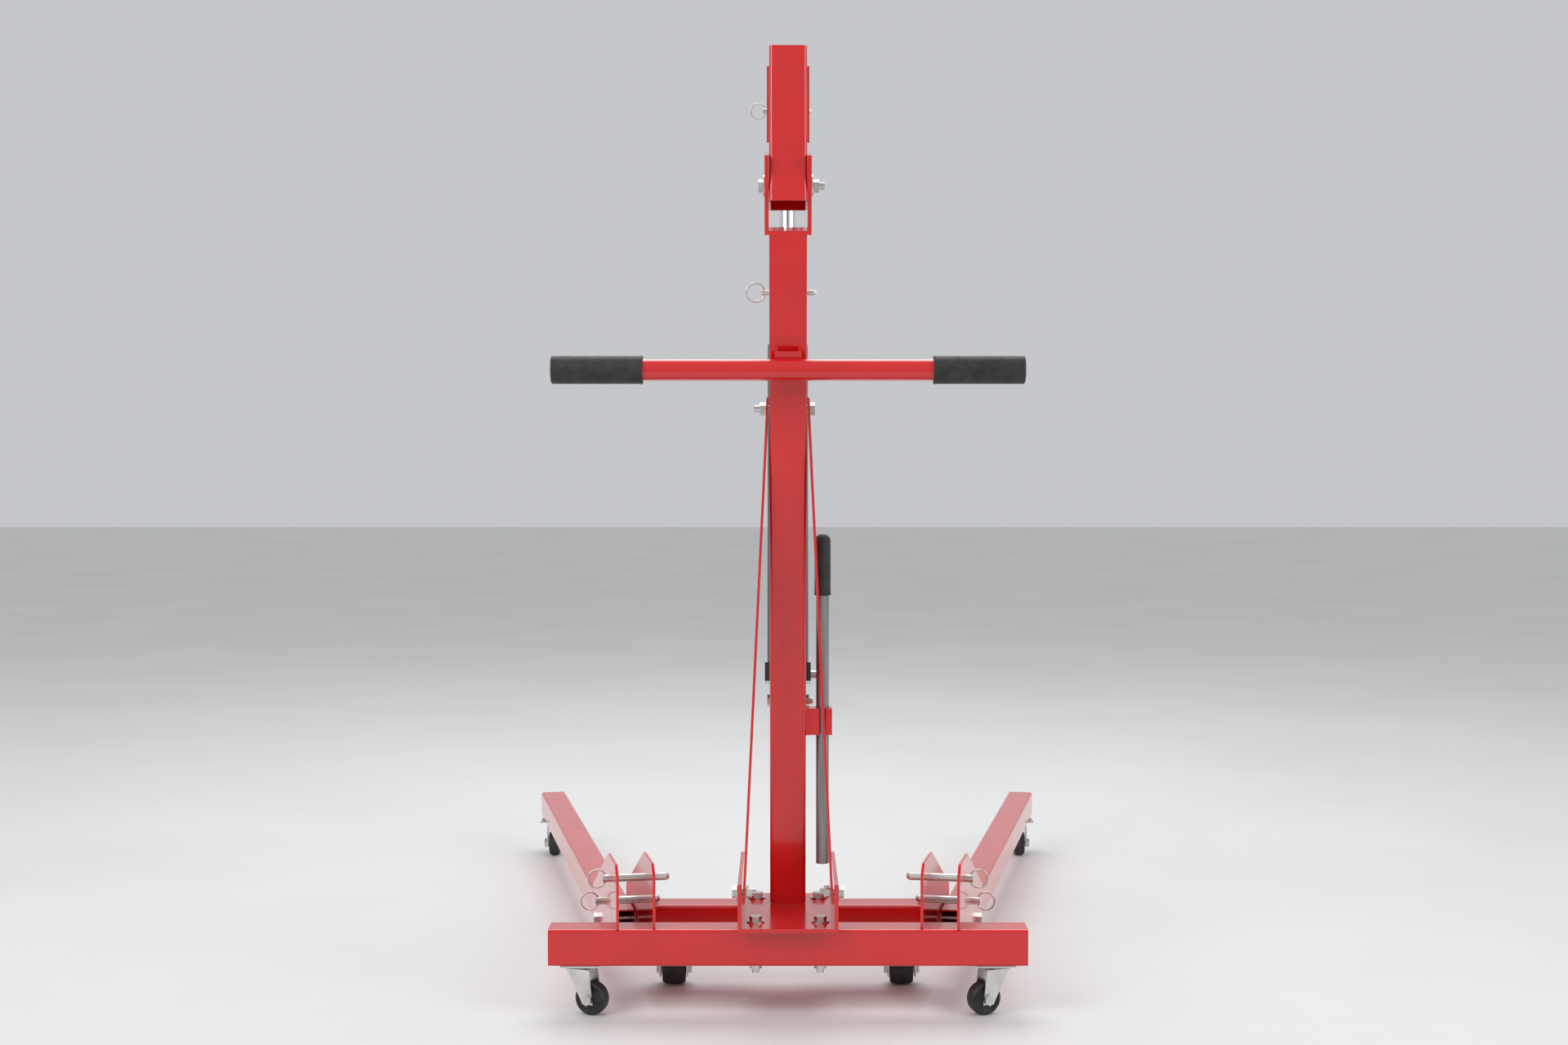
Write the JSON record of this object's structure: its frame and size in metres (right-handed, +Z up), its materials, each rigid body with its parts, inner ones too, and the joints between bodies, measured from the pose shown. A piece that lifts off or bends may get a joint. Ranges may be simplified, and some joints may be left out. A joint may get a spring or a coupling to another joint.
{
  "type": "folding shop crane",
  "caption": "Folding workshop crane with a leaning post, a hydraulic boom, splayed wheeled legs and a push handle.",
  "frame": {"origin": "on the floor under the middle of the crane's bounding box", "axes": "+Z up, +Y forward to the leg tips, +X right as seen from behind"},
  "size_m": [1.2092, 1.6544, 1.7582],
  "materials": {
    "red_paint": "glossy powder coat",
    "black_paint": "satin",
    "black_rubber": "matt",
    "zinc": "bright zinc plate",
    "grey_steel": "satin",
    "chrome": "polished"
  },
  "bodies": {
    "base": {"rear_beam": "red_paint", "front_beam": "red_paint", "centre_bracket": "red_paint", "base_bolts": "zinc", "post": "red_paint", "boom_clevis": "red_paint", "boom_pivot_bolt": "zinc", "side_strap_left": "red_paint", "side_strap_right": "red_paint", "ear_bolts": "zinc", "strap_bolt": "zinc", "ram_lugs": "red_paint", "ram_foot_bolt": "zinc", "push_handle": "red_paint", "handle_bracket": "red_paint", "grip_left": "black_rubber", "grip_right": "black_rubber", "pump_handle_holder": "red_paint", "roller_fork_left": "zinc", "leg_plates_left": "red_paint", "leg_bolt_left": "zinc", "roller_fork_right": "zinc", "leg_plates_right": "red_paint", "leg_bolt_right": "zinc", "rear_caster_plates": "zinc"},
    "boom": {"boom": "red_paint", "boom_extension": "red_paint", "extension_pin": "zinc", "ram_head_bolt": "zinc", "hook_bolt": "zinc"},
    "hook": {"load_hook": "zinc"},
    "ram": {"ram_cylinder": "black_paint", "pump_ears": "black_paint"},
    "rod": {"piston_rod": "chrome"},
    "pump_socket": {"pump_socket": "black_paint"},
    "release_valve": {"release_valve": "zinc"},
    "pump_handle": {"pump_handle": "grey_steel", "pump_handle_grip": "black_rubber"},
    "post_pin": {"post_pin": "zinc"},
    "leg_left": {"leg_left": "red_paint", "front_caster_plate_left": "zinc"},
    "upper_pin_left": {"upper_pin_left": "zinc"},
    "lower_pin_left": {"lower_pin_left": "zinc"},
    "rear_caster_left": {"rear_caster_left_fork": "zinc"},
    "rear_caster_left_wheel": {"rear_caster_left_wheel": "black_rubber"},
    "front_caster_left": {"front_caster_left_fork": "zinc"},
    "front_caster_left_wheel": {"front_caster_left_wheel": "black_rubber"},
    "roller_left": {"roller_wheel_left": "black_rubber"},
    "leg_right": {"leg_right": "red_paint", "front_caster_plate_right": "zinc"},
    "upper_pin_right": {"upper_pin_right": "zinc"},
    "lower_pin_right": {"lower_pin_right": "zinc"},
    "rear_caster_right": {"rear_caster_right_fork": "zinc"},
    "rear_caster_right_wheel": {"rear_caster_right_wheel": "black_rubber"},
    "front_caster_right": {"front_caster_right_fork": "zinc"},
    "front_caster_right_wheel": {"front_caster_right_wheel": "black_rubber"},
    "roller_right": {"roller_wheel_right": "black_rubber"}
  },
  "joints": [
    {"name": "boom_lift", "type": "hinge", "parent": "base", "child": "boom", "pos_m": [0, -0.78498, 1.44432], "axis": [1, 0, 0], "range_deg": [-10, 6]},
    {"name": "ram_swing", "type": "hinge", "parent": "base", "child": "ram", "pos_m": [0, -0.52493, 0.53], "axis": [1, 0, 0], "range_deg": [-6, 6]},
    {"name": "rod_slide", "type": "slide", "parent": "ram", "child": "rod", "axis": [0, 0.1736, 0.9848], "range_m": [-0.085, 0.055]},
    {"name": "hook_swing", "type": "hinge", "parent": "boom", "child": "hook", "pos_m": [0, 0.43085, 1.73019], "axis": [1, 0, 0], "range_deg": [-25, 25]},
    {"name": "pump_lever", "type": "hinge", "parent": "ram", "child": "pump_socket", "pos_m": [0, -0.44396, 0.60915], "axis": [-1, 0, 0], "range_deg": [0, 45]},
    {"name": "valve_turn", "type": "hinge", "parent": "ram", "child": "release_valve", "pos_m": [0.032, -0.48474, 0.57369], "axis": [1, 0, 0], "range_deg": [0, 90]},
    {"name": "pump_handle_lift", "type": "slide", "parent": "base", "child": "pump_handle", "axis": [0, 0, 1], "range_m": [0, 0.3]},
    {"name": "post_pin_pull", "type": "slide", "parent": "base", "child": "post_pin", "axis": [-1, 0, 0], "range_m": [0, 0.11]},
    {"name": "leg_fold_left", "type": "hinge", "parent": "base", "child": "leg_left", "pos_m": [-0.32327, -0.45565, 0.111], "axis": [0.981, 0.1942, 0], "range_deg": [0, 90]},
    {"name": "upper_pin_left_pull", "type": "slide", "parent": "base", "child": "upper_pin_left", "axis": [-0.981, -0.1942, 0], "range_m": [0, 0.15]},
    {"name": "lower_pin_left_pull", "type": "slide", "parent": "base", "child": "lower_pin_left", "axis": [-0.981, -0.1942, 0], "range_m": [0, 0.15]},
    {"name": "rear_caster_left_swivel", "type": "hinge", "parent": "base", "child": "rear_caster_left", "pos_m": [-0.365, -0.71743, 0], "axis": [0, 0, 1], "continuous": true},
    {"name": "rear_caster_left_spin", "type": "hinge", "parent": "rear_caster_left", "child": "rear_caster_left_wheel", "pos_m": [-0.3446, -0.72567, 0.0295], "axis": [-0.3746, -0.9272, 0], "continuous": true},
    {"name": "front_caster_left_swivel", "type": "hinge", "parent": "leg_left", "child": "front_caster_left", "pos_m": [-0.56412, 0.76074, 0], "axis": [0, 0, 1], "continuous": true},
    {"name": "front_caster_left_spin", "type": "hinge", "parent": "front_caster_left", "child": "front_caster_left_wheel", "pos_m": [-0.56412, 0.73874, 0.0295], "axis": [-1, 0, 0], "continuous": true},
    {"name": "roller_spin_left", "type": "hinge", "parent": "base", "child": "roller_left", "pos_m": [-0.211, -0.50993, 0.0295], "axis": [1, 0, 0], "continuous": true},
    {"name": "leg_fold_right", "type": "hinge", "parent": "base", "child": "leg_right", "pos_m": [0.32327, -0.45565, 0.111], "axis": [0.981, -0.1942, 0], "range_deg": [0, 90]},
    {"name": "upper_pin_right_pull", "type": "slide", "parent": "base", "child": "upper_pin_right", "axis": [0.981, -0.1942, 0], "range_m": [0, 0.15]},
    {"name": "lower_pin_right_pull", "type": "slide", "parent": "base", "child": "lower_pin_right", "axis": [0.981, -0.1942, 0], "range_m": [0, 0.15]},
    {"name": "rear_caster_right_swivel", "type": "hinge", "parent": "base", "child": "rear_caster_right", "pos_m": [0.365, -0.71743, 0], "axis": [0, 0, 1], "continuous": true},
    {"name": "rear_caster_right_spin", "type": "hinge", "parent": "rear_caster_right", "child": "rear_caster_right_wheel", "pos_m": [0.3446, -0.72567, 0.0295], "axis": [-0.3746, 0.9272, 0], "continuous": true},
    {"name": "front_caster_right_swivel", "type": "hinge", "parent": "leg_right", "child": "front_caster_right", "pos_m": [0.56412, 0.76074, 0], "axis": [0, 0, 1], "continuous": true},
    {"name": "front_caster_right_spin", "type": "hinge", "parent": "front_caster_right", "child": "front_caster_right_wheel", "pos_m": [0.56412, 0.73874, 0.0295], "axis": [-1, 0, 0], "continuous": true},
    {"name": "roller_spin_right", "type": "hinge", "parent": "base", "child": "roller_right", "pos_m": [0.211, -0.50993, 0.0295], "axis": [1, 0, 0], "continuous": true}
  ],
  "couplings": [
    {"joint": "ram_swing", "follows": "boom_lift", "ratio": 0.1157},
    {"joint": "rod_slide", "follows": "boom_lift", "m_per_rad": 0.41934}
  ]
}
